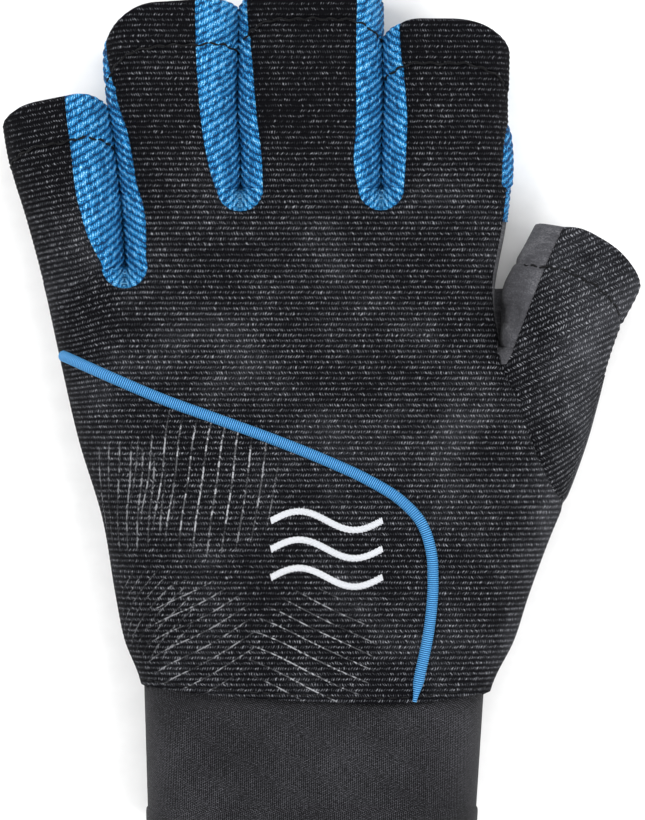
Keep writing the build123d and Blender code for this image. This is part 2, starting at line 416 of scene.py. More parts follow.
class Nodes:
    """A short way to write node materials."""

    def __init__(self, name):
        self.material = bpy.data.materials.new(name)
        self.material.use_nodes = True
        self.tree = self.material.node_tree
        self.shader = self.tree.nodes["Principled BSDF"]

    def add(self, kind, **values):
        node = self.tree.nodes.new(kind)
        for key, value in values.items():
            setattr(node, key, value)
        return node

    def feed(self, socket, value):
        if isinstance(value, Value):
            value = value.socket
        if isinstance(value, bpy.types.NodeSocket):
            self.tree.links.new(value, socket)
        else:
            socket.default_value = value

    def math(self, operation, a, b=0.0):
        node = self.add("ShaderNodeMath", operation=operation)
        self.feed(node.inputs[0], a)
        self.feed(node.inputs[1], b)
        return Value(self, node.outputs[0])

    def uv(self):
        node = self.add("ShaderNodeUVMap", uv_map="Cloth")
        split = self.add("ShaderNodeSeparateXYZ")
        self.feed(split.inputs[0], node.outputs[0])
        return Value(self, split.outputs[0]), Value(self, split.outputs[1])

    def vector(self, x, y):
        node = self.add("ShaderNodeCombineXYZ")
        self.feed(node.inputs[0], x)
        self.feed(node.inputs[1], y)
        return node.outputs[0]

    def noise(self, vector, scale, detail=2.0, roughness=0.5):
        node = self.add("ShaderNodeTexNoise")
        self.feed(node.inputs["Vector"], vector)
        node.inputs["Scale"].default_value = scale
        node.inputs["Detail"].default_value = detail
        node.inputs["Roughness"].default_value = roughness
        return Value(self, node.outputs[0])

    def share(self, value, start, end):
        """How far a value has come from start to end, from 0 to 1."""
        node = self.add("ShaderNodeMapRange")
        self.feed(node.inputs["Value"], value)
        node.inputs["From Min"].default_value = start
        node.inputs["From Max"].default_value = end
        return Value(self, node.outputs[0])

    def cell(self, x, y):
        """A random value that is the same over one cell."""
        node = self.add("ShaderNodeTexWhiteNoise", noise_dimensions="3D")
        self.feed(node.inputs["Vector"], self.vector(x, y))
        return Value(self, node.outputs["Value"])

    def ramp(self, value, stops):
        node = self.add("ShaderNodeValToRGB")
        self.feed(node.inputs[0], value)
        ramp = node.color_ramp
        while len(ramp.elements) < len(stops):
            ramp.elements.new(0.5)
        for element, (at, color) in zip(ramp.elements, stops):
            element.position = at
            element.color = (*color, 1)
        return node.outputs[0]

    def bump(self, height, distance_mm):
        node = self.add("ShaderNodeBump")
        node.inputs["Strength"].default_value = 1.0
        node.inputs["Distance"].default_value = distance_mm * MM
        self.feed(node.inputs["Height"], height)
        self.feed(self.shader.inputs["Normal"], node.outputs[0])

    def finish(self, color, roughness, sheen=0.0, specular=0.3):
        self.feed(self.shader.inputs["Base Color"], color)
        self.shader.inputs["Roughness"].default_value = roughness
        self.shader.inputs["Specular IOR Level"].default_value = specular
        self.shader.inputs["Sheen Weight"].default_value = sheen
        self.shader.inputs["Sheen Roughness"].default_value = 0.45
        return self.material


def linear(*srgb):
    """Linear colour of sRGB values from 0 to 255."""
    out = []
    for value in srgb:
        c = value / 255
        out.append(c / 12.92 if c <= 0.04045 else ((c + 0.055) / 1.055) ** 2.4)
    return tuple(out)


def wave(n, value, pitch):
    """A wave from 0 to 1 with crests every pitch."""
    return n.math("COSINE", value * (2 * math.pi / pitch)) * 0.5 + 0.5


def knit_loops(n, u, v, row_pitch, stitch_pitch, slant, zigzag=False):
    """Rows of yarn loops: row wave, stitch wave and a random value for each stitch."""
    row = v / row_pitch
    cell_row = n.math("FLOOR", row + 0.5)
    across = cell_row * (0.5 * stitch_pitch) + u
    if zigzag:
        lean = n.math("FLOORED_MODULO", cell_row, 2.0) * -2.0 + 1.0
        across = (row - cell_row) * (slant * row_pitch) * lean + across
    else:
        across = v * slant + across
    cell_stitch = n.math("FLOOR", across / stitch_pitch + 0.5)
    return wave(n, v, row_pitch), wave(n, across, stitch_pitch), n.cell(cell_row, cell_stitch)


def black_knit(name="black_knit", printed=False):
    n = Nodes(name)
    u, v = n.uv()
    flat = n.vector(u, v)
    v_soft = n.noise(flat, 0.9, 1.0) * 0.5 + v
    u_soft = n.noise(flat, 1.3, 1.0) * 0.8 + u
    rows, stitches, lot = knit_loops(n, u_soft, v_soft, KNIT_PITCH, 0.54, 0.45, zigzag=True)
    loops = rows * stitches
    bright = loops ** 1.3 * (lot ** 1.6 * 0.75 + 0.35)
    fuzz = n.noise(flat, 3.2, 3.0, 0.7)
    patch = n.noise(flat, 0.05, 3.0, 0.6)
    bright = bright + (fuzz - 0.5) * 0.55 + (patch - 0.5) * 0.6
    # Painted shade darkens the fingers and painted light brightens the knit towards the thumb.
    bright = bright + n.share(v, 44.0, 60.0) * -0.15 + n.share(u, 38.0, 52.0) * 0.12
    color = n.ramp(bright, [
        (0.02, linear(6, 6, 9)), (0.19, linear(35, 36, 39)), (0.48, linear(76, 77, 82)),
        (0.95, linear(130, 131, 136))])
    if printed:
        color = silver_print(n, u, v, color, lot)
    n.bump(loops * 0.7 + rows * 0.5, 0.28)
    return n.finish(color, 0.85, specular=0.06)


# Groups of printed lines: angle, pitch, wave level above which ink shows, strength, centre
# and radius.
PRINT_GROUPS = [
    (1.42, 3.0, 0.972, 1.0, (-25, -16), 17), (1.5, 2.6, 0.955, 0.45, (-43, -20), 12),
    (0.5, 2.9, 0.978, 0.5, (-27, -50), 13), (-0.42, 2.9, 0.978, 0.8, (-2, -53), 14),
    (0.85, 2.2, 0.96, 0.3, (-37, -45), 10),
]


def silver_print(n, u, v, color, lot):
    """Thin broken silver lines over a colour, dotted by the knit and worn away in places."""
    flat = n.vector(u, v)
    lines = 0.0
    for angle, pitch, level, strength, centre, radius in PRINT_GROUPS:
        side = v * math.cos(angle) + u * -math.sin(angle)
        bend = n.noise(flat, 0.05, 0.0) * 3.0 + side
        line = n.math("GREATER_THAN", wave(n, bend, pitch), level)
        dx, dy = u - centre[0], v - centre[1]
        away = n.math("SQRT", dx * dx + dy * dy)
        zone = n.math("MAXIMUM", away * (-2.5 / radius) + 2.5, 0.0)
        lines = n.math("MAXIMUM", line * n.math("MINIMUM", zone, strength), lines)
    dots = n.math("GREATER_THAN", lot, 0.5) * 0.8 + 0.2
    worn = n.math("GREATER_THAN", n.noise(flat, 0.2, 2.0), 0.45) * 0.75 + 0.25
    mix = n.add("ShaderNodeMix", data_type="RGBA")
    n.feed(mix.inputs[0], lines * dots * worn * 0.6)
    n.feed(mix.inputs[6], color)
    mix.inputs[7].default_value = (*linear(190, 191, 196), 1)
    return mix.outputs[2]


def blue_knit():
    n = Nodes("blue_knit")
    u, v = n.uv()
    flat = n.vector(u, v)
    v_soft = n.noise(flat, 1.1, 1.0) * 0.55 + v
    u_soft = n.noise(flat, 1.6, 1.0) * 0.8 + u
    rows, stitches, lot = knit_loops(n, u_soft, v_soft, CORD_PITCH, 0.6, 0.75)
    ticks = stitches * 0.55 + wave(n, v_soft * -1.4 + u_soft, 0.46) * 0.45
    fuzz = n.noise(flat, 3.0, 3.0, 0.75)
    bright = rows ** 0.5 * ticks + (lot - 0.5) * 0.45 + (fuzz - 0.5) * 0.8
    color = n.ramp(bright, [
        (0.05, linear(0, 46, 86)), (0.28, linear(8, 106, 168)), (0.58, linear(44, 158, 226)),
        (0.95, linear(168, 226, 255))])
    n.bump(stitches * 0.6 + rows, 0.4)
    return n.finish(color, 0.65, specular=0.2)


def piping_knit():
    n = Nodes("blue_piping")
    u, v = n.uv()
    ribs = wave(n, u, PIPING_RIB)
    bright = (n.noise(n.vector(u, v), 4.0, 2.0) - 0.5) * 0.5 + ribs * 0.8
    color = n.ramp(bright, [
        (0.0, linear(8, 66, 116)), (0.5, linear(40, 122, 184)), (1.0, linear(120, 188, 230))])
    n.bump(ribs, 0.12)
    return n.finish(color, 0.55, specular=0.3)


def suede(name, dark, mid, light, relief=0.12):
    n = Nodes(name)
    u, v = n.uv()
    flat = n.vector(u, v)
    nap = n.noise(flat, 2.6, 5.0, 0.72)
    stroke = n.noise(n.vector(u * 0.35, v), 1.1, 3.0, 0.6)
    patch = n.noise(flat, 0.09, 3.0, 0.6)
    tone = nap * 0.55 + stroke * 0.3 + patch * 0.35
    color = n.ramp(tone, [(0.32, dark), (0.6, mid), (0.85, light)])
    n.bump(nap, relief)
    return n.finish(color, 0.92, sheen=0.06, specular=0.1)


def cuff_jersey():
    n = Nodes("cuff_jersey")
    u, v = n.uv()
    flat = n.vector(u, v)
    wale = 0.42
    courses = wave(n, n.math("FLOOR", u / wale) * 0.15 + v, 0.36)
    weave = (wave(n, u, wale) * 0.5 + 0.5) * courses
    fuzz = n.noise(flat, 3.0, 3.0, 0.7)
    patch = n.noise(flat, 0.05, 3.0, 0.6)
    grain = n.noise(n.vector(u * 0.6, v * 2.4), 1.5, 4.0, 0.75)
    tone = weave * 0.4 + fuzz * 0.35 + grain * 0.5 + patch * 0.2
    color = n.ramp(tone, [
        (0.69, linear(6, 6, 8)), (0.8, linear(38, 38, 42)), (0.93, linear(104, 104, 110))])
    n.bump(weave + grain, 0.12)
    return n.finish(color, 0.85, sheen=0.05, specular=0.15)


def thread(name, dark, light, roughness, specular):
    n = Nodes(name)
    u, v = n.uv()
    twist = wave(n, v * 0.9 + u, 0.3)
    n.bump(twist, 0.05)
    return n.finish(n.ramp(twist, [(0.0, dark), (1.0, light)]), roughness, specular=specular)


BLACK = black_knit()
PRINTED = black_knit("printed_knit", printed=True)
BLUE = blue_knit()
PIPING = piping_knit()
SUEDE = suede("grey_suede", linear(30, 30, 32), linear(68, 68, 72), linear(122, 122, 126))
GRIP = suede("grip_suede", linear(36, 36, 39), linear(58, 58, 62), linear(86, 86, 90), 0.2)
JERSEY = cuff_jersey()
DARK_THREAD = thread("stitch_thread", linear(3, 3, 4), linear(15, 15, 18), 0.7, 0.2)
WHITE_THREAD = thread("white_thread", linear(150, 152, 158), linear(236, 238, 242), 0.38, 0.6)


# ---- the hand -------------------------------------------------------------------------
def set_stall_facts():
    """Root lines, side curves and end shapes of the stalls."""
    crotch = {"pinky": LITTLE_SLIT[0], "ring": RING_SLIT[0], "middle": RING_SLIT[0],
              "index": MIDDLE_SLIT[0], "thumb": INDEX_EDGE[0]}
    sides = {
        "pinky": (LITTLE_EDGE, LITTLE_SLIT), "ring": (LITTLE_SLIT, RING_SLIT),
        "middle": (RING_SLIT, MIDDLE_SLIT), "index": (MIDDLE_SLIT, INDEX_EDGE),
        "thumb": (THUMB_INNER, THUMB_EDGE)}
    # Length to the open end on the back, then how far and over what width the end
    # falls back on the little-finger side and on the thumb side.
    ends = {
        "pinky": (40.0, 3.4, 8.0, 4.4, 7.0), "ring": (42.7, 9.0, 11.0, 2.4, 7.0),
        "middle": (48.4, 7.5, 10.0, 6.0, 9.0), "index": (38.9, 4.5, 8.0, 7.5, 13.0),
        "thumb": (32.6, 2.8, 10.0, 9.0, 17.0)}
    for name, stall in STALLS.items():
        stall.start = float(stall.local(crotch[name])[0])
        stall.blend_end = stall.start + (THUMB_BLEND_LENGTH if name == "thumb" else BLEND_LENGTH)
        stall.end = ends[name]
        stall.sides = []
        for side in sides[name]:
            s, t = stall.local(side)
            keep = s > -20
            order = np.argsort(s[keep])
            stall.sides.append((s[keep][order], t[keep][order]))
        stall.slit_left = name in ("ring", "middle", "index")
        stall.slit_right = name in ("pinky", "ring", "middle")


def edges_of(stall, s):
    """Across positions of a stall's two side edges."""
    left = np.interp(s, *stall.sides[0]) + (SLIT_GAP if stall.slit_left else 0.0)
    right = np.interp(s, *stall.sides[1]) - (SLIT_GAP if stall.slit_right else 0.0)
    return left, right


set_stall_facts()

# Seams between the black backs and the blue walls, in plan.
TONGUE_EDGES = {
    "pinky_right": [
        (-47.2, 30.4), (-49.9, 35.3), (-51.6, 40.4), (-52.9, 45.6), (-53.8, 53.3), (-54.8, 61.1),
        (-55.6, 70)],
    "ring_left": [
        (-38.1, 31.5), (-38.0, 37), (-38.7, 43), (-40, 46.9), (-41.1, 53.3), (-42.3, 59),
        (-43.9, 63.6), (-45.2, 68.8), (-46.3, 73.5), (-46.8, 90)],
    "ring_right": [
        (-22.4, 45.5), (-23.6, 49), (-25.2, 55.9), (-26.2, 63.6), (-26.9, 72.7), (-27.4, 92)],
    "middle_left": [
        (-12.9, 45.8), (-13.2, 53.3), (-14.2, 61.1), (-15.1, 71.4), (-16.3, 84.3), (-16.6, 97)],
    "middle_right": [(8.0, 45.8), (7.0, 51.6), (7.4, 58.5), (7.5, 74), (7.7, 98)],
    "index_left": [
        (17.4, 45.8), (17.9, 54.6), (18.1, 62.1), (17.6, 68.8), (16.8, 76.1), (16.3, 90)],
    "index_right": [(39.0, 44), (39.2, 52), (39.7, 57), (40.6, 61), (41.5, 66), (42, 90)],
    "thumb_left": [(39.6, 9.0), (42.0, 15.0), (45.0, 22.5), (48.2, 30.5), (51.6, 37.8), (54, 43)],
}

# Each blue tongue of the hand: its slit, its radius on the back and its two side seams.
TONGUES = {
    "fourchette_pinky_ring": (LITTLE_SLIT, 4.75, "pinky_right", "ring_left"),
    "fourchette_ring_middle": (RING_SLIT, 4.8, "ring_right", "middle_left"),
    "fourchette_middle_index": (MIDDLE_SLIT, 4.75, "middle_right", "index_left"),
}


def hand_curves():
    """Border and seams of the hand in plan."""
    wrist = spline([(-38.9, -60.4), (-22, -62.4), (-4.7, -63.5), (18.9, -64.0), (36.2, -61.9)])
    out = {"wrist": wrist}
    outer = THUMB_EDGE[np.argmin(np.abs(THUMB.local(THUMB_EDGE)[0] - THUMB.start))]
    out["thumb_edge"] = between(THUMB_EDGE, wrist[-1, 1] + 0.3, outer[1] - 0.3)
    roots = {}
    for name, stall in STALLS.items():
        left, right = edges_of(stall, stall.start)
        ends = np.array([stall.plan(stall.start, right), stall.plan(stall.start, left)])
        roots[name] = resample(ends, ROW * 2)
    out["index_edge"] = between(INDEX_EDGE, INDEX_EDGE[0, 1] + 0.3, roots["index"][0, 1] - 0.3)
    slit = LITTLE_SLIT + np.array([SLIT_GAP, 0])
    out["little_slit"] = between(slit, slit[0, 1] + 0.3, roots["ring"][-1, 1] - 0.3)[::-1]
    out["little_edge"] = between(LITTLE_EDGE, wrist[0, 1] + 0.3, roots["pinky"][-1, 1] - 0.3)[::-1]
    out.update(roots)
    border = np.vstack([
        out["wrist"], out["thumb_edge"], roots["thumb"], out["index_edge"], roots["index"],
        roots["middle"], roots["ring"], out["little_slit"], roots["pinky"], out["little_edge"]])
    keep = np.r_[True, np.linalg.norm(np.diff(border, axis=0), axis=1) > 0.08]
    out["border"] = border[keep]
    out["piping"] = spline([
        (-58.5, 11.5), (-55.3, 10.2), (-49.7, 7.7), (-44, 5.2), (-33.8, 0.9), (-21.9, -3.4),
        (-10.1, -7.7), (0.6, -12), (9.9, -16.3), (16.8, -20.6), (21.2, -25.4), (23.3, -31.5),
        (23.7, -37.8), (22.9, -48), (20.8, -58.5), (19.4, -65.5)])
    out["thumb_seam"] = spline([
        (38.45, 13.2), (38.3, 9.6), (39.2, 6.4), (41.5, 2.2), (44.1, -5.4), (46.6, -12),
        (50.2, -18.8), (54, -24)])
    return out


HAND = hand_curves()


def circle(centre, radius, start=0.0, end=360.0, step=8.0):
    turn = np.radians(np.arange(start, end + 1e-6, step))
    return np.array(centre) + radius * np.stack([np.cos(turn), np.sin(turn)], 1)


def top_tongues():
    """Closed plan outline of the blue tongue that the back carries round each slit."""
    out = {}
    for name, (slit, radius, left_seam, right_seam) in TONGUES.items():
        low = slit[0, 1] + 0.3
        left = spline(TONGUE_EDGES[left_seam])
        right = spline(TONGUE_EDGES[right_seam])
        arc = circle(slit[0], radius, 180, 360)
        out[name] = np.vstack([arc, right[right[:, 1] > low], left[left[:, 1] > low][::-1]])
    return out


def palm_tongues():
    """The same tongues on the palm side, where they are narrow and even."""
    out = {}
    side = np.array([PALM_TONGUE, 0])
    for name, (slit, *_) in TONGUES.items():
        line = slit[slit[:, 1] < slit[0, 1] + 26]
        arc = circle(slit[0], PALM_TONGUE, 180, 360)
        out[name] = np.vstack([arc, (line + side)[1:], (line - side)[::-1][:-1]])
    return out


CROTCH_SUEDE = np.array([
    (38.0, 13.6), (38.2, 11.0), (38.5, 9.0), (39.5, 8.8), (40.6, 10.6), (42.2, 14.4)])


def hand_points():
    """Points for the hand's sheets: a fine row lattice, with closer points at edges and slits."""
    border = HAND["border"]
    low, high = border.min(0), border.max(0)
    xs = np.arange(low[0], high[0], 1.15)
    ys = np.arange(low[1], high[1], ROW)
    lattice = np.stack(np.meshgrid(xs, ys), -1)
    lattice[1::2, :, 0] += 0.55
    points = [lattice.reshape(-1, 2)]
    for line in (LITTLE_EDGE, THUMB_EDGE, INDEX_EDGE, THUMB_INNER):
        tangent = unit(np.gradient(line, axis=0))
        normal = np.stack([-tangent[:, 1], tangent[:, 0]], 1)
        for offset in (0.12, 0.4, 0.9, 1.6, 2.5):
            for sign in (-1, 1):
                points.append(line + sign * offset * normal)
    for slit in (LITTLE_SLIT, RING_SLIT, MIDDLE_SLIT):
        for offset in (0.45, 0.75, 1.25, 2.0, 3.0):
            points.append(slit + np.array([offset, 0]))
        for radius in (0.2, 0.42, 0.75, 1.2, 1.8, 2.5, 3.3, 4.2):
            points.append(circle(slit[0], radius, 0, 359, 10))
    for radius in (0.15, 0.4, 0.8, 1.3, 2.0, 2.8, 3.8):
        points.append(circle(INDEX_EDGE[0], radius, 0, 359, 10))
    points = np.vstack(points)
    points = points[inside(points, border)]
    return points[distance(points, np.vstack([border, border[:1]])) > 0.1]


def triangulate(points, chains, stretch=3.0):
    """Delaunay triangles of points that keep every chain as edges."""
    verts, edges = [], []
    for chain in chains:
        first = len(verts)
        verts.extend(chain.tolist())
        edges.extend((first + i, first + i + 1) for i in range(len(chain) - 1))
    verts.extend(points.tolist())
    flat = [Vector((x, y * stretch)) for x, y in verts]
    result = delaunay_2d_cdt(flat, edges, [], 0, 1e-5)
    plan = np.array([(v.x, v.y / stretch) for v in result[0]])
    return plan, np.array([f for f in result[2] if len(f) == 3])


def split_regions(plan, triangles, regions):
    """Region index of each triangle: the first outline that holds it, else the last index."""
    centre = plan[triangles].mean(1)
    label = np.full(len(triangles), len(regions))
    for i in reversed(range(len(regions))):
        label[inside(centre, regions[i])] = i
    return label


def submesh(verts, triangles, extra):
    """The vertices that some triangles use, with their other arrays."""
    used, index = np.unique(triangles, return_inverse=True)
    return verts[used], index.reshape(triangles.shape), [e[used] for e in extra]


def tongue_uv(points, slit):
    """Rib coordinates of the blue knit round a slit: ribs rise towards the crease."""
    x_slit = np.interp(points[:, 1], slit[:, 1], slit[:, 0])
    side = arc_of(np.abs(points[:, 0] - x_slit), SLIT_ROUND)
    return turned(side, points[:, 1], CORD_TURN)


def turned(u, v, angle):
    """Map coordinates turned by an angle."""
    cos, sin = math.cos(angle), math.sin(angle)
    return np.stack([u * cos - v * sin, v * cos + u * sin], 1)


def knit_relief(v):
    """Real relief of the black knit's rows."""
    return KNIT_RELIEF * (0.5 + 0.5 * np.cos(2 * np.pi * v / KNIT_PITCH)) - KNIT_RELIEF * 0.5


def cord_relief(uv):
    """Real relief of the chunky blue ribs and their loops."""
    ribs = (0.5 + 0.5 * np.cos(2 * np.pi * uv[:, 1] / CORD_PITCH)) ** 0.7
    row = np.floor(uv[:, 1] / CORD_PITCH + 0.5)
    loops = 0.5 + 0.5 * np.cos(2 * np.pi * (uv[:, 0] + 0.55 * uv[:, 1] + 0.29 * row) / 0.58)
    return CORD_RELIEF * (ribs - 0.5) + 0.08 * ribs * loops


def seam_dip(points, seams):
    total = np.zeros(len(points))
    for seam, width in seams:
        total -= SEAM_DIP * np.exp(-(distance(points, seam) / width) ** 2)
    return total


def close(line):
    return np.vstack([line, line[:1]])


def index_strip(low, high):
    """Closed plan outline of the strip down the thumb side of the index finger."""
    side = between(INDEX_EDGE, low, high)
    inner = side - np.column_stack([0.1 + 0.8 * smoothstep((side[:, 1] - 18) / 12), 0 * side[:, 1]])
    return np.vstack([side + np.array([3.0, 0]), inner[::-1]])


def facing(plan, triangles, up):
    """The same triangles, all wound to face up or down."""
    a, b, c = (plan[triangles[:, k]] for k in range(3))
    turn = np.cross(b - a, c - a)
    wrong = turn < 0 if up else turn > 0
    triangles[wrong] = triangles[wrong][:, ::-1]
    return triangles


def hand_sheet(points, seams, chains, stretch, up):
    """Plan points and triangles of one hand sheet, cut along its seams."""
    for line in seams:
        points = points[distance(points, line) > 0.25]
    plan, triangles = triangulate(points, [close(HAND["border"])] + chains, stretch)
    triangles = triangles[inside(plan[triangles].mean(1), HAND["border"])]
    plan, triangles, _ = submesh(plan, triangles, [])
    return plan, facing(plan, triangles, up)


def beyond(seam):
    """Closed outline of the thumb side of the thumb seam."""
    return np.vstack([seam, [(95, -30), (95, 40), (39.5, 40)]])


def make_pieces(verts, triangles, label, pieces):
    """The pieces of a hand sheet: name, map, relief, material, slot and nodes by region."""
    for i, (name, uv, rise, material, slot, nodes) in enumerate(pieces):
        co, faces, (uv, rise) = submesh(verts, triangles[label == i], [uv, rise])
        obj = make_object("glove_" + name, co, faces, material, uv, CLOTH, rise)
        place(obj, "hand", nodes)


def make_hand_top():
    tongues = top_tongues()
    side_strip = index_strip(17, 40)
    blue_strip = index_strip(39.2, 60)
    piping, thumb_seam = HAND["piping"], HAND["thumb_seam"]
    below_piping = np.vstack([piping, [(-90, -80), (-90, 20)]])
    chains = [piping, thumb_seam] + [close(outline) for outline in tongues.values()]
    chains += [close(side_strip), close(blue_strip), close(CROTCH_SUEDE)]
    seams = [piping, thumb_seam] + list(tongues.values())
    plan, triangles = hand_sheet(hand_points(), seams, chains, 3.0, up=True)
    regions = list(tongues.values()) + [
        blue_strip, side_strip, CROTCH_SUEDE, beyond(thumb_seam), below_piping]
    label = split_regions(plan, triangles, regions)

    verts = np.column_stack([plan, hand_top(plan)])
    x, y = plan[:, 0], plan[:, 1]
    extra_left = arc_of(distance(plan, LITTLE_EDGE), SIDE_ROUND) - distance(plan, LITTLE_EDGE)
    extra_right = arc_of(distance(plan, THUMB_EDGE), SIDE_ROUND) - distance(plan, THUMB_EDGE)
    u = x + extra_left - extra_right
    v = knit_row(x, y)
    knit_uv = np.column_stack([u, v])
    thumb_uv = turned(u, y, -THUMB_KNIT_TURN)
    blue_uv = tongue_uv(plan, INDEX_EDGE)
    dips = seam_dip(plan, [(piping, PIPING_SEAM_WIDTH), (thumb_seam, THUMB_SEAM_WIDTH)]
                    + [(close(line), SEAM_WIDTH) for line in tongues.values()])
    relief = knit_relief(v) + dips
    below_root = THUMB.start - THUMB.local(plan)[0]
    thumb_relief = knit_relief(thumb_uv[:, 1]) + dips
    thumb_relief -= 0.35 * smoothstep(below_root / 5)

    pieces = []
    for name, (slit, *_) in TONGUES.items():
        uv = tongue_uv(plan, slit)
        bulge = 0.33 * smoothstep(distance(plan, close(tongues[name])) / 2.0)
        pieces.append((name, uv, cord_relief(uv) + dips + bulge, BLUE, "blue_knit", [name]))
    pieces += [
        ("index_inner_wall_root", blue_uv, cord_relief(blue_uv) + 0.1, BLUE, "blue_knit", []),
        ("index_side_gusset", knit_uv, dips, SUEDE, "grey_suede", ["index_side_gusset"]),
        ("thumb_crotch_gusset", knit_uv, dips, SUEDE, "grey_suede", []),
        ("thumb_gusset_back", thumb_uv, thumb_relief, BLACK, "black_knit", ["thumb_gusset_back"]),
        ("lower_back_panel", knit_uv, relief, PRINTED, "printed_knit", ["lower_back_panel"]),
        ("back_panel", knit_uv, relief, BLACK, "black_knit", ["back_panel"]),
    ]
    make_pieces(verts, triangles, label, pieces)


def make_hand_palm():
    tongues = palm_tongues()
    thumb_seam = HAND["thumb_seam"]
    outlines = list(tongues.values())
    points = hand_points()
    level = np.round((points[:, 1] - HAND["border"][:, 1].min()) / ROW).astype(int)
    near = distance(points, close(HAND["border"])) < 6
    points = points[(level % 3 == 0) | near]
    chains = [thumb_seam] + [close(line) for line in outlines]
    plan, triangles = hand_sheet(points, [thumb_seam] + outlines, chains, 1.5, up=False)
    label = split_regions(plan, triangles, outlines + [beyond(thumb_seam)])
    verts = np.column_stack([plan, hand_low(plan)])
    dips = seam_dip(plan, [(thumb_seam, THUMB_SEAM_WIDTH)]
                    + [(close(line), SEAM_WIDTH) for line in outlines])
    pieces = []
    for name, (slit, *_) in TONGUES.items():
        uv = tongue_uv(plan, slit)
        pieces.append((name + "_palm_side", uv, cord_relief(uv) + dips, BLUE, "blue_knit", []))
    for name in ("thumb_gusset_palm", "palm_panel"):
        pieces.append((name, plan, dips, SUEDE, "grey_suede", [name]))
    make_pieces(verts, triangles, label, pieces)


# ---- the stalls -----------------------------------------------------------------------
LOOP_HALF = 72  # points of a stall's cross-section over its top


def stall_loop(stall, s):
    """Closed cross-sections at rows s: t, z and arc length, from the left edge over the top."""
    left, right = edges_of(stall, s)
    turn = np.linspace(0, np.pi, LOOP_HALF)
    t = left[:, None] + (right - left)[:, None] * (1 - np.cos(turn))[None] / 2
    plan = stall.plan(np.broadcast_to(s[:, None], t.shape), t)
    x, y = plan[..., 0], plan[..., 1]
    mid, top, low = MID_Z(y), TOP_Z(y), LOW_Z(y)
    left_round = right_round = np.full(t.shape, SLIT_ROUND)
    top = mid + (top - mid) * thumb_drop(x, y)
    if stall.name == "thumb":
        share = smoothstep((s - stall.start) / 16)[:, None]
        mid = mid + (THUMB_MID - mid) * share
        top = top + (THUMB_TOP - top) * share
        low = low + (THUMB_LOW - low) * share
        right_round = EDGE_ROUND(y) + (10.5 - EDGE_ROUND(y)) * share
    if stall.name == "pinky":
        left_round = EDGE_ROUND(y)
    share = profile(t - left[:, None], left_round) * profile(right[:, None] - t, right_round)
    z_top = mid + (top - mid + folds(x, y)) * share
    z_low = mid - (mid - low) * share
    loop_t = np.hstack([t, t[:, -2:0:-1]])
    loop_z = np.hstack([z_top, z_low[:, -2:0:-1]])
    loop_t = np.hstack([loop_t, loop_t[:, :1]])
    loop_z = np.hstack([loop_z, loop_z[:, :1]])
    step = np.hypot(np.diff(loop_t, axis=1), np.diff(loop_z, axis=1))
    arc = np.hstack([np.zeros((len(s), 1)), np.cumsum(step, axis=1)])
    return loop_t, loop_z, arc


def stall_grid(stall, first, last, columns, rows):
    """Rows of points on a stall's skin from one mark to another, clockwise over the top."""
    s = np.linspace(stall.start, stall.end[0] + BEYOND_END, rows)
    loop_t, loop_z, arc = stall_loop(stall, s)
    t0, z0, a0 = (np.empty((rows, columns)) for _ in range(3))
    start_arc = mark_arc(stall, s, loop_t, arc, first)
    end_arc = mark_arc(stall, s, loop_t, arc, last)
    for i in range(rows):
        total = arc[i, -1]
        begin, stop = start_arc[i], end_arc[i]
        if stop <= begin:
            stop += total
        at = np.linspace(begin, stop, columns)
        a0[i] = at
        wrapped = np.mod(at, total)
        t0[i] = np.interp(wrapped, arc[i], loop_t[i])
        z0[i] = np.interp(wrapped, arc[i], loop_z[i])
    left, right = edges_of(stall, s[-1:])
    length, drop_left, wide_left, drop_right, wide_right = stall.end
    end = length - drop_left * (1 - profile(t0[-1] - left, wide_left))
    end -= drop_right * (1 - profile(right - t0[-1], wide_right))
    if stall.name == "thumb":
        end = THUMB_END(t0[-1])
    under = np.clip((MID_Z(60) - z0[-1]) / 8.0, 0, 1)
    end -= PALM_SHORTER * smoothstep(under)
    share = np.linspace(0, 1, rows)
    grid_s = stall.start + share[:, None] * (end - stall.start)[None]
    grids = []
    for values in (t0, z0, a0):
        columns_at = [np.interp(grid_s[:, j], s, values[:, j]) for j in range(columns)]
        grids.append(np.stack(columns_at, 1))
    return (grid_s, *grids, end[None] - grid_s)


THUMB_END = curve_of([
    (-16, 30.5), (-13.4, 31.2), (-7, 32.0), (-3.4, 32.6), (2.2, 31.7), (6.6, 30.2), (9.6, 28.4),
    (11.8, 26.3), (13.1, 23.9), (14.2, 21.6)])
THUMB_HOLLOW = np.array([39.6, 19.4])


def mark_arc(stall, s, loop_t, arc, mark):
    """Arc position of a mark in each row. A mark is "left" or "right", a seam over the top
    ("top", points) or a distance under an edge ("low_left" or "low_right", distance)."""
    kind, value = mark
    left, right = edges_of(stall, s)
    out = np.zeros(len(s))
    if kind == "right":
        out[:] = arc[:, LOOP_HALF - 1]
    elif kind == "top":
        along, across = stall.local(spline(value))
        order = np.argsort(along)
        wanted = np.interp(s, along[order], across[order])
        for i, t in enumerate(np.clip(wanted, left + 0.05, right - 0.05)):
            out[i] = np.interp(t, loop_t[i, :LOOP_HALF], arc[i, :LOOP_HALF])
    elif kind != "left":
        wanted = left + value if kind == "low_left" else right - value
        under = slice(LOOP_HALF - 1, None)
        for i, t in enumerate(wanted):
            out[i] = np.interp(-t, -loop_t[i, under], arc[i, under])
    return out


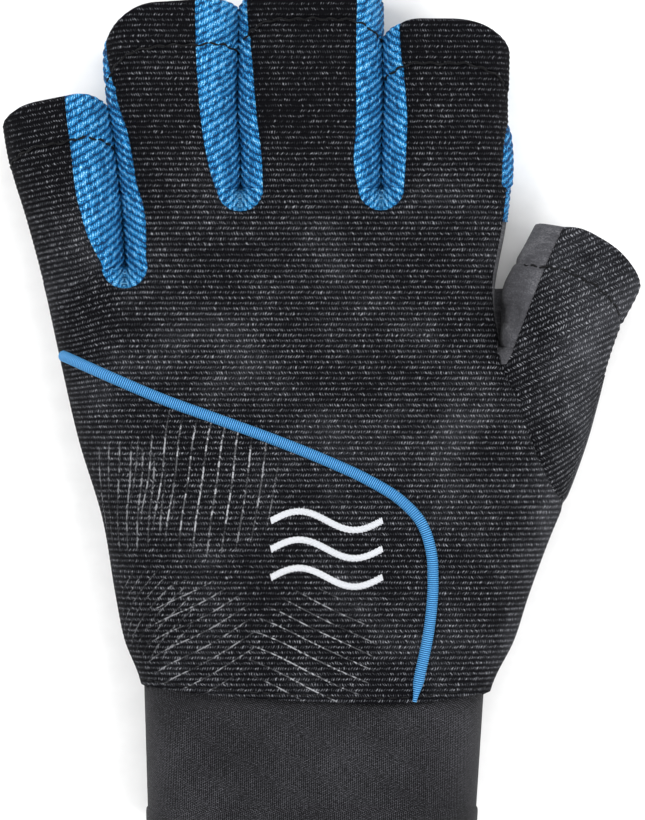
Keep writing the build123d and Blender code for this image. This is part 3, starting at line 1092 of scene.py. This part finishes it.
def stall_piece(stall, name, style, first, last, columns):
    """One panel of a stall, from its root line to its open end."""
    material, slot, row = {
        "knit": (BLACK, "black_knit", ROW), "blue": (BLUE, "blue_knit", ROW),
        "suede": (SUEDE, "grey_suede", SUEDE_ROW)}[style]
    rows = int((stall.end[0] - stall.start) / row) + 1
    s, t, z, a, to_end = stall_grid(stall, first, last, columns, rows)
    plan = stall.plan(s, t)
    verts = np.column_stack([plan.reshape(-1, 2), z.ravel()])
    x, y = plan[..., 0], plan[..., 1]
    edge = np.minimum(a - a[:, :1], a[:, -1:] - a)
    dip = -SEAM_DIP * np.exp(-(edge / SEAM_WIDTH) ** 2)
    rim = -0.7 * (1 - profile(to_end, 0.9))
    hem = -0.3 * np.exp(-((to_end - HEM_DEPTH) / 0.45) ** 2)
    swell = 0.16 * smoothstep((HEM_DEPTH - to_end) / 1.2)
    if style == "knit":
        u = a - side_arc(stall, s, "middle") + stall.root[0]
        v = knit_row(x, y)
        if stall.name == "thumb":
            cos, sin = math.cos(THUMB_KNIT_TURN), math.sin(THUMB_KNIT_TURN)
            u, v = u * cos + y * sin, y * cos - x * sin
        relief = knit_relief(v)
    elif style == "blue":
        if first[0] == "low_left":
            side = a - side_arc(stall, s, "left")
        else:
            side = side_arc(stall, s, "right") - a
        uv = turned(side.ravel(), y.ravel(), CORD_TURN)
        u, v = (uv[:, k].reshape(a.shape) for k in range(2))
        relief = cord_relief(uv).reshape(a.shape)
        relief += 0.35 * smoothstep(edge / 2.2) * smoothstep((s - stall.start) / 1.0)
    else:
        u, v = a, s
        relief = 0.1 * smoothstep(edge / 3)
    if name == "index_inner_wall":
        tuck = 0.45 + 0.65 * smoothstep((y - 58) / 5)
        relief = relief - tuck * smoothstep((a[:, :1] + 5 - a) / 3)
    if name == "thumb_palm":
        hollow = np.hypot(*(np.moveaxis(plan, -1, 0) - THUMB_HOLLOW[:, None, None]))
        relief = relief - 2.4 * np.exp(-(hollow / 2.6) ** 2) * smoothstep((z - 8) / 3)
    rise = relief + dip + rim + hem + swell
    thickness = CLOTH + (HEM_CLOTH - CLOTH) * smoothstep((HEM_DEPTH - to_end) / 1.0)
    uv = np.column_stack([u.ravel(), v.ravel()])
    obj = make_object("glove_" + name, verts, grid_faces(rows, columns), material, uv,
                      thickness.ravel(), rise.ravel())
    place(obj, None, [name], stall)


def side_arc(stall, s, side):
    """Arc position of the left edge (met from below), the right edge or the top centre line."""
    rows = np.linspace(stall.start, stall.end[0] + BEYOND_END, 40)
    loop_t, _, arc = stall_loop(stall, rows)
    if side == "left":
        found = arc[:, -1]
    elif side == "right":
        found = arc[:, LOOP_HALF - 1]
    else:
        found = [np.interp(0.0, t[:LOOP_HALF], a[:LOOP_HALF]) for t, a in zip(loop_t, arc)]
    return np.interp(s, rows, found)


def make_stalls():
    """Backs, palm faces and blue walls. The walls end under the palm, PALM_MARK from the edge."""
    seams = {name: ("top", points) for name, points in TONGUE_EDGES.items()}
    low_left, low_right = ("low_left", PALM_MARK), ("low_right", PALM_MARK)
    left, right = ("left", 0), ("right", 0)
    for name, stall in STALLS.items():
        start, stop = seams.get(name + "_left"), seams.get(name + "_right")
        if name == "thumb":
            stall_piece(stall, "thumb_back", "knit", start, right, 44)
            stall_piece(stall, "thumb_palm", "suede", right, start, 60)
            continue
        if name == "pinky":
            stall_piece(stall, "pinky_back", "knit", left, stop, 36)
            stall_piece(stall, "pinky_palm", "suede", low_right, left, 30)
        else:
            stall_piece(stall, name + "_back", "knit", start, stop, 34)
            stall_piece(stall, name + "_palm", "suede", low_right, low_left, 34)
            stall_piece(stall, name + "_outer_wall", "blue", low_left, start, 56)
        stall_piece(stall, name + "_inner_wall", "blue", stop, low_right, 56)


def make_thumb_web():
    """Suede that closes the narrow gap between the hand and the thumb at the crotch."""
    ys = np.linspace(12.2, 25.0, 34)
    left = np.interp(ys, INDEX_EDGE[:, 1], INDEX_EDGE[:, 0]) - 1.0
    right = np.interp(ys, THUMB_INNER[:, 1], THUMB_INNER[:, 0]) + 1.0
    c = np.linspace(0, 1, 14)[None]
    x = left[:, None] * (1 - c) + right[:, None] * c
    y = np.broadcast_to(ys[:, None], x.shape)
    sink = smoothstep((ys - 20) / 6)[:, None] * 3.0
    z = 9.3 - 2.6 * np.sin(np.pi * c) - sink
    verts = np.column_stack([x.ravel(), y.ravel(), z.ravel()])
    uv = np.column_stack([x.ravel(), y.ravel()])
    obj = make_object("glove_thumb_web", verts, grid_faces(*x.shape), SUEDE, uv, 1.0)
    place(obj, None, (), THUMB)


# ---- cuff -----------------------------------------------------------------------------
CUFF_TOP = -58.0
CUFF_END = CAD_BOX[0][1] / MM
CUFF_MID_Z = 13.0
CUFF_LOW_X, CUFF_HIGH_X = -38.4, 35.1
CUFF_HALF_HEIGHT = 11.9
CUFF_SIDE_ROUND = 12.0
CUFF_COLUMNS = 220


def cuff_skin(name, ys, grows, thickness, node):
    """A stretch of the cuff's tube: a ring at each y, grown outwards by a little."""
    verts, uv = [], []
    for y, grow in zip(ys, grows):
        share = (CUFF_TOP - y) / (CUFF_TOP - CUFF_END)
        x_low = CUFF_LOW_X + 1.0 * share - grow
        x_high = CUFF_HIGH_X - 2.2 * share + grow
        half, centre = (x_high - x_low) / 2, (x_high + x_low) / 2
        height = CUFF_HALF_HEIGHT + grow - 1.9 * smoothstep((y + 66) / 3.2)
        loop = rounded_loop(half, height, CUFF_SIDE_ROUND, CUFF_COLUMNS)
        level = np.full(CUFF_COLUMNS, y)
        verts.append(np.column_stack([loop[:, 0] + centre, level, loop[:, 1] + CUFF_MID_Z]))
        uv.append(np.column_stack([loop[:, 2], level]))
    verts, uv = np.vstack(verts), np.vstack(uv)
    wrinkle = 0.25 * np.sin(verts[:, 1] / 2.7 + np.sin(verts[:, 0] / 11))
    wrinkle *= np.exp(-((verts[:, 1] + 60) / 7) ** 2)
    verts[:, 2] += wrinkle * np.sign(verts[:, 2] - CUFF_MID_Z)
    faces = [f[::-1] for f in grid_faces(len(ys), CUFF_COLUMNS, closed=True)]
    obj = make_object(name, verts, faces, JERSEY, uv, thickness)
    place(obj, "hand", [node])


def rounded_loop(half, height, radius, columns):
    """Points round a flattened ring with elliptical sides: x, z and length along it."""
    fine = np.linspace(0, np.pi, 400)
    t = -half + 2 * half * (1 - np.cos(fine)) / 2
    share = profile(t + half, radius) * profile(half - t, radius)
    top = np.column_stack([t, share * height])
    low = np.column_stack([t[::-1], -share[::-1] * height])
    line = np.vstack([top, low[1:]])
    at = np.linspace(0, lengths(line)[-1], columns, endpoint=False)
    return np.column_stack([points_at(line, at), at])


def make_cuff():
    """The tube of the cuff and, over its end, the turned hem."""
    hem = 5.6
    ys = np.linspace(CUFF_TOP, CUFF_END + hem - 0.4, 60)
    cuff_skin("glove_cuff", ys, np.zeros(len(ys)), 1.5, "cuff")
    depth = np.array([0.0, 0.12, 0.35, 0.7, 1.2, 2.0, 3.0, 4.0, 4.7, 5.1, 5.35, 5.5, 5.6])
    grow = 0.55 * np.sqrt(np.clip(1 - ((depth / hem - 0.5) * 2) ** 6, 0, 1)) - 0.15
    cuff_skin("glove_cuff_hem", CUFF_END + hem - depth, grow, 2.2, "cuff_hem")


# ---- trims ----------------------------------------------------------------------------
def tube(path, radius, sides, uv_radius):
    """Vertices, faces and map of a tube along a path, with closed ends."""
    tangent = unit(np.gradient(path, axis=0))
    side = unit(np.cross(tangent, (0.0, 0.0, 1.0)))
    up = np.cross(side, tangent)
    turn = np.linspace(0, 2 * np.pi, sides, endpoint=False)
    radius = np.broadcast_to(radius, len(path))
    ring = np.cos(turn)[None, :, None] * side[:, None] + np.sin(turn)[None, :, None] * up[:, None]
    verts = (path[:, None] + ring * radius[:, None, None]).reshape(-1, 3)
    faces = [f[::-1] for f in grid_faces(len(path), sides, closed=True)]
    faces.append(tuple(range(sides)))
    faces.append(tuple(len(verts) - sides + i for i in reversed(range(sides))))
    uv = np.stack(np.meshgrid(lengths(path), turn * uv_radius, indexing="ij"), -1)
    return verts, faces, uv.reshape(-1, 2)


def make_piping():
    line = resample(HAND["piping"], 0.09)
    line = line[inside(line, HAND["border"])][14:-3]
    z = hand_top(line) + 0.35
    path = np.column_stack([line, z])
    length = lengths(path)
    radius = PIPING_RADIUS + 0.05 * np.cos(2 * np.pi * length / PIPING_RIB)
    radius *= 1 - 0.6 * smoothstep(1 - (length[-1] - length) / 5)
    verts, faces, uv = tube(path, radius, 14, PIPING_RADIUS)
    obj = make_object("glove_back_piping", verts, faces, PIPING, uv)
    place(obj, "hand", ["back_piping"])


def joined(parts):
    """One vertex list, face list and map out of several."""
    verts, faces, uv = [], [], []
    count = 0
    for part_verts, part_faces, part_uv in parts:
        faces += [tuple(i + count for i in face) for face in part_faces]
        verts.append(part_verts)
        uv.append(part_uv)
        count += len(part_verts)
    return np.vstack(verts), faces, np.vstack(uv)


def stitches(path, normals, length, gap, radius):
    """A row of short threads that dive into the cloth at both ends."""
    total = lengths(path)
    arch = np.sin(np.linspace(0, np.pi, 7)) ** 0.6
    lift = 0.05 - radius * 1.2 + arch * radius * 1.6
    threads = []
    start = gap / 2
    while start + length < total[-1]:
        at = start + length * np.linspace(0, 1, 7)
        n = np.stack([np.interp(at, total, normals[:, k]) for k in range(3)], 1)
        p = points_at(path, at) + n * lift[:, None]
        threads.append(tube(p, radius * (0.7 + 0.3 * arch), THREAD_SIDES, radius))
        start += length + gap
    return joined(threads)


def hem_path(stall):
    """The closed line of a stall's hem seam, HEM_DEPTH from its open end."""
    path = []
    for first, last in ((("left", 0), ("right", 0)), (("right", 0), ("left", 0))):
        s, t, z, _, to_end = stall_grid(stall, first, last, 90, 200)
        for j in range(s.shape[1] - 1):
            order = np.argsort(to_end[:, j])
            s_at, t_at, z_at = (
                np.interp(HEM_DEPTH, to_end[order, j], grid[order, j]) for grid in (s, t, z))
            path.append((*stall.plan(s_at, t_at), z_at))
    return np.array(path + path[:1])


def make_hem_stitching():
    step = 0.35
    for name, stall in STALLS.items():
        path = hem_path(stall)
        centre = path[:-1].mean(0)
        path = resample(path, step)
        at = np.arange(len(path)) * step
        wobble = 0.22 * np.sin(at * 1.7) + 0.12 * np.sin(at * 0.63)
        path[:, :2] += wobble[:, None] * stall.along
        normals = unit(np.cross([*stall.along, 0.0], np.gradient(path, axis=0)))
        if ((path - centre) * normals).sum() < 0:
            normals = -normals
        # The thread lies deeper in the thumb's suede, and where it turns over an edge.
        rise = np.full(len(path), -0.25 if name == "thumb" else 0.21)
        for edge, sink in (
                (LITTLE_EDGE, 0.4), (THUMB_EDGE, 0.4), (INDEX_EDGE, 1.4), (THUMB_INNER, 0.4)):
            rise -= sink * np.exp(-(distance(path[:, :2], edge) / 1.3) ** 2)
        path = path + normals * rise[:, None]
        verts, faces, uv = stitches(path, normals, 2.3, 0.15, 0.25)
        obj = make_object(f"glove_{name}_hem_stitching", verts, faces, DARK_THREAD, uv)
        place(obj, None, [f"{name}_hem_stitching"], stall)


def surface_normals(plan, height):
    """Upward normals of a height field at plan points."""
    e = 0.2
    dx = (height(plan + np.array([e, 0])) - height(plan - np.array([e, 0]))) / (2 * e)
    dy = (height(plan + np.array([0, e])) - height(plan - np.array([0, e]))) / (2 * e)
    return unit(np.column_stack([-dx, -dy, np.ones(len(plan))]))


def make_wrist_stitching():
    """The seam between hand and cuff: one row on the back and one on the palm side."""
    line = resample(HAND["wrist"] + np.array([0, 1.3]), 0.4)
    line = line[inside(line, HAND["border"])]
    top = np.column_stack([line, hand_top(line) - 0.05])
    low = np.column_stack([line, hand_low(line) + 0.1])
    verts, faces, uv = joined([
        stitches(top, surface_normals(line, hand_top), 2.0, 0.7, 0.17),
        stitches(low, -surface_normals(line, hand_low), 2.0, 0.7, 0.17)])
    obj = make_object("glove_wrist_seam_stitching", verts, faces, DARK_THREAD, uv)
    place(obj, "hand", ["wrist_seam_stitching"])


def make_emblem():
    """Three plain waves in satin stitch: short raised threads side by side."""
    low, high = box_of("emblem_embroidery")
    rows, swing, width, radius = 3, 2.0, 1.3, 0.135
    spread = (high[1] - low[1] - 2 * swing - width) / (rows - 1)
    threads = []
    for row in range(rows):
        x = np.linspace(low[0] + 0.6, high[0] - 0.6, 400)
        y_mid = high[1] - width / 2 - swing - row * spread
        y = y_mid + swing * np.sin(2 * np.pi * (x - x[0]) / (x[-1] - x[0]))
        line = resample(np.column_stack([x, y]), 0.23)
        tangent = unit(np.gradient(line, axis=0))
        normal = np.stack([-tangent[:, 1], tangent[:, 0]], 1)
        for i, (centre, across) in enumerate(zip(line, normal + 0.25 * tangent)):
            reach = 0.62 + 0.12 * math.sin(i * 2.4 + row) * math.cos(i * 0.7)
            t = np.linspace(-reach, reach, 7)
            plan = centre + t[:, None] * across
            arch = np.sqrt(np.clip(1 - (t / 0.74) ** 2, 0, 1)) * 0.42
            path = np.column_stack([plan, hand_top(plan) + arch - 0.08])
            threads.append(tube(path, radius, THREAD_SIDES, radius))
    verts, faces, uv = joined(threads)
    obj = make_object("glove_emblem_embroidery", verts, faces, WHITE_THREAD, uv)
    place(obj, "hand", ["emblem_embroidery"])


def box_of(name):
    """Corners of a node's box in millimetres."""
    low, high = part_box(name)
    return np.array(low) / MM, np.array(high) / MM


PATCH_CORNERS = {
    "palm_grip_patch": [(0.085, 0.0), (0.945, 0.0), (1.0, 1.0), (0.0, 0.955)],
    "heel_patch": [(0.045, 0.0), (0.905, 0.0), (1.0, 1.0), (0.0, 1.0)],
}


def make_patches():
    """Flat reinforcements under the palm, with a rolled edge and a stitched border."""
    for name, corners in PATCH_CORNERS.items():
        low, high = box_of(name)
        size = (high - low)[:2]
        outline = round_polygon([low[:2] + np.array(c) * size for c in corners], 7.5)
        patch_mesh(name, outline, float(low[2]), float(high[2]))


def round_polygon(points, radius, steps=10):
    """A polygon with arcs at its corners."""
    out = []
    points = np.array(points, float)
    for i in range(len(points)):
        before, here, after = points[i - 1], points[i], points[(i + 1) % len(points)]
        a = (before - here) / np.linalg.norm(before - here)
        b = (after - here) / np.linalg.norm(after - here)
        for u in np.linspace(0, 1, steps):
            start, stop = here + a * radius, here + b * radius
            out.append((1 - u) ** 2 * start + 2 * u * (1 - u) * here + u**2 * stop)
    return resample(close(np.array(out)), 0.8)[:-1]


def patch_mesh(name, outline, z_low, z_high):
    centre = outline.mean(0)
    border = close(outline)
    low, high = outline.min(0), outline.max(0)
    xs, ys = np.arange(low[0], high[0], 0.9), np.arange(low[1], high[1], 0.9)
    lattice = np.stack(np.meshgrid(xs, ys), -1).reshape(-1, 2)
    rows = [centre + (outline - centre) * (1 - k) for k in (0.004, 0.012, 0.025, 0.045, 0.07, 0.09)]
    points = np.vstack([lattice[inside(lattice, outline)]] + rows)
    points = points[distance(points, border) > 0.06]
    plan, triangles = triangulate(points, [border], 1.0)
    triangles = triangles[inside(plan[triangles].mean(1), outline)]
    d = distance(plan, border)
    groove = 0.22 * np.exp(-((d - 2.2) / 0.4) ** 2)
    quilt = 0.06 * np.sin(plan[:, 0] / 2.4) * np.sin(plan[:, 1] / 2.4)
    depth = (z_high - z_low - 0.05) * profile(d + 0.02, 0.9)
    z = z_high + 0.15 - np.maximum(depth - groove - np.abs(quilt), 0)
    z = np.maximum(z, z_low)
    triangles = facing(plan, triangles, up=False)
    obj = make_object("glove_" + name, np.column_stack([plan, z]), triangles, GRIP, plan, 0.6)
    place(obj, "hand", [name])


# ---- studio ---------------------------------------------------------------------------
# Position in metres and power in watts of each softbox.
SOFTBOXES = [((0.65, -0.35, 0.75), 7.0), ((-0.6, 0.25, 0.8), 6.5), ((0.3, 0.6, 0.9), 3.0)]
SOFTBOX_SIZE = 0.6
SKY_STRENGTH = 0.88


def make_studio():
    scene = bpy.context.scene
    mesh = bpy.data.meshes.new("floor")
    mesh.from_pydata([(-3, -3, 0), (3, -3, 0), (3, 3, 0), (-3, 3, 0)], [], [(0, 1, 2, 3)])
    floor = bpy.data.objects.new("floor", mesh)
    scene.collection.objects.link(floor)
    n = Nodes("floor_paper")
    position = n.add("ShaderNodeTexCoord").outputs["Object"]
    grain = n.noise(position, 220.0, 2.0)
    color = n.ramp(grain, [(0.3, (0.86, 0.86, 0.86)), (0.7, (0.9, 0.9, 0.9))])
    mesh.materials.append(n.finish(color, 0.9, specular=0.1))
    world = bpy.data.worlds.new("studio")
    scene.world = world
    world.use_nodes = True
    background = world.node_tree.nodes["Background"]
    background.inputs["Color"].default_value = (1, 1, 1, 1)
    background.inputs["Strength"].default_value = SKY_STRENGTH
    scene.view_settings.view_transform = "Standard"
    for position, power in SOFTBOXES:
        light = bpy.data.lights.new("softbox", "AREA")
        light.size = SOFTBOX_SIZE
        light.energy = power
        lamp = bpy.data.objects.new("softbox", light)
        lamp.location = position
        lamp.rotation_mode = "QUATERNION"
        lamp.rotation_quaternion = Vector(position).to_track_quat("Z", "Y")
        scene.collection.objects.link(lamp)
    camera_data = bpy.data.cameras.new("camera")
    camera_data.lens = 300
    camera_data.sensor_width = 36
    camera = bpy.data.objects.new("camera", camera_data)
    camera.location = (0.0001, -0.0013, 1.4860)
    camera.rotation_euler = (0, 0, 0)
    scene.collection.objects.link(camera)
    scene.camera = camera


make_studio()
make_hand_top()
make_hand_palm()
make_stalls()
make_thumb_web()
make_cuff()
make_piping()
make_hem_stitching()
make_wrist_stitching()
make_emblem()
make_patches()
